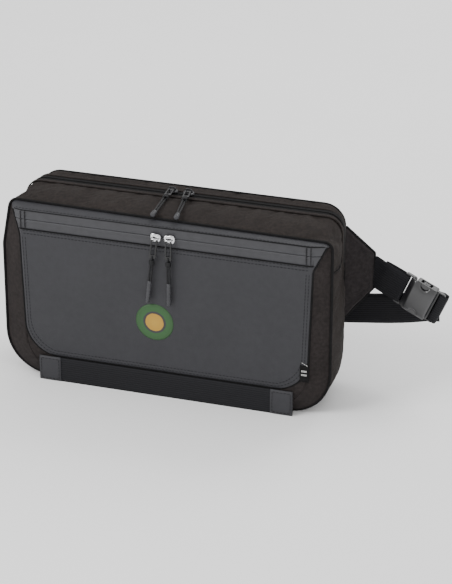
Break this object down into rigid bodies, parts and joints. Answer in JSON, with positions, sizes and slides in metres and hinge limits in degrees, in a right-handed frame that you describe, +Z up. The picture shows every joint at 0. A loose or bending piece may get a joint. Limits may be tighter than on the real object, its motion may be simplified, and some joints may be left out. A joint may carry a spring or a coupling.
{
  "type": "zipped waist bag",
  "caption": "Soft zipped waist or sling bag with a flat front pocket, padded hip wings and a webbing belt closed by a side-release buckle.",
  "frame": {"origin": "centre of the flat underside of the bag", "axes": "+X along the bag's width towards the buckle, +Y from the front pocket to the back panel, +Z up"},
  "size_m": [0.4247, 0.1327, 0.1916],
  "materials": {
    "acetal": "black moulded acetal",
    "badge_print": "soft transfer badge",
    "black_metal": "black enamel",
    "chrome_slider": "polished",
    "coated_fabric": "coated, matt slate grey",
    "cord": "black braided cord",
    "foam": "closed-cell foam",
    "label_white": "woven label",
    "lining": "light woven lining",
    "mesh_padding": "padded spacer mesh",
    "moulded_end": "moulded soft plastic",
    "shell_fabric": "woven, matt brown-black",
    "webbing": "woven black webbing",
    "zip_tape": "coated zip tape"
  },
  "bodies": {
    "bag": {"back_foam": "foam", "back_panel": "mesh_padding", "band_tab_left": "coated_fabric", "band_tab_right": "coated_fabric", "belt_tail": "webbing", "bottom_band": "webbing", "buckle_female": "acetal", "buckle_male": "acetal", "front_panel": "coated_fabric", "front_zip_coil": "zip_tape", "front_zip_stops": "zip_tape", "front_zip_tape": "zip_tape", "hip_wing_left": "shell_fabric", "hip_wing_right": "shell_fabric", "inner_slip_pocket": "lining", "main_shell": "shell_fabric", "panel_top_strip": "coated_fabric", "pocket_badge": "badge_print", "pocket_base_strip": "shell_fabric", "pocket_gusset": "shell_fabric", "pocket_lining": "lining", "short_webbing": "webbing", "side_label": "label_white", "strap_end_loop": "webbing", "top_zip_coil": "zip_tape", "top_zip_tape": "zip_tape", "waist_belt": "webbing"},
    "front_left_slider": {"front_left_slider": "chrome_slider"},
    "front_left_pull": {"front_left_pull": "black_metal", "front_left_pull_cord": "cord", "front_left_pull_end": "moulded_end"},
    "front_right_slider": {"front_right_slider": "chrome_slider"},
    "front_right_pull": {"front_right_pull": "black_metal", "front_right_pull_cord": "cord", "front_right_pull_end": "moulded_end"},
    "top_left_slider": {"top_left_slider": "black_metal"},
    "top_left_pull": {"top_left_pull": "black_metal", "top_left_pull_cord": "cord", "top_left_pull_end": "moulded_end"},
    "top_right_slider": {"top_right_slider": "black_metal"},
    "top_right_pull": {"top_right_pull": "black_metal", "top_right_pull_cord": "cord", "top_right_pull_end": "moulded_end"},
    "upper_arm": {"release_arm_upper": "acetal"},
    "lower_arm": {"release_arm_lower": "acetal"},
    "keeper": {"belt_keeper": "webbing"}
  },
  "joints": [
    {"name": "front_left_zip", "type": "slide", "parent": "bag", "child": "front_left_slider", "axis": [-1, 0, 0], "range_m": [0, 0.12]},
    {"name": "front_left_pull_flip", "type": "hinge", "parent": "front_left_slider", "child": "front_left_pull", "pos_m": [-0.0067, -0.0469, 0.166], "axis": [-1, 0, 0], "range_deg": [0, 150]},
    {"name": "top_left_zip", "type": "slide", "parent": "bag", "child": "top_left_slider", "axis": [-1, 0, 0], "range_m": [0, 0.095]},
    {"name": "top_left_pull_flip", "type": "hinge", "parent": "top_left_slider", "child": "top_left_pull", "pos_m": [-0.0122, 0.02, 0.18987], "axis": [-1, 0, 0], "range_deg": [0, 165]},
    {"name": "front_right_zip", "type": "slide", "parent": "bag", "child": "front_right_slider", "axis": [1, 0, 0], "range_m": [0, 0.12]},
    {"name": "front_right_pull_flip", "type": "hinge", "parent": "front_right_slider", "child": "front_right_pull", "pos_m": [0.0067, -0.0469, 0.166], "axis": [-1, 0, 0], "range_deg": [0, 150]},
    {"name": "top_right_zip", "type": "slide", "parent": "bag", "child": "top_right_slider", "axis": [1, 0, 0], "range_m": [0, 0.1]},
    {"name": "top_right_pull_flip", "type": "hinge", "parent": "top_right_slider", "child": "top_right_pull", "pos_m": [0.0042, 0.02, 0.18987], "axis": [-1, 0, 0], "range_deg": [0, 165]},
    {"name": "upper_arm_squeeze", "type": "hinge", "parent": "bag", "child": "upper_arm", "pos_m": [0.22103, 0.05292, 0.10643], "axis": [0.0934, 0.9948, -0.0398], "range_deg": [0, 13], "stiffness_Nm_per_rad": 0.3},
    {"name": "lower_arm_squeeze", "type": "hinge", "parent": "bag", "child": "lower_arm", "pos_m": [0.21397, 0.05292, 0.08987], "axis": [-0.0934, -0.9948, 0.0398], "range_deg": [0, 13], "stiffness_Nm_per_rad": 0.3},
    {"name": "belt_keeper_slide", "type": "slide", "parent": "bag", "child": "keeper", "axis": [1, 0, 0], "range_m": [-0.032, 0.03]}
  ],
  "couplings": [
    {"joint": "lower_arm_squeeze", "follows": "upper_arm_squeeze", "ratio": 1}
  ]
}
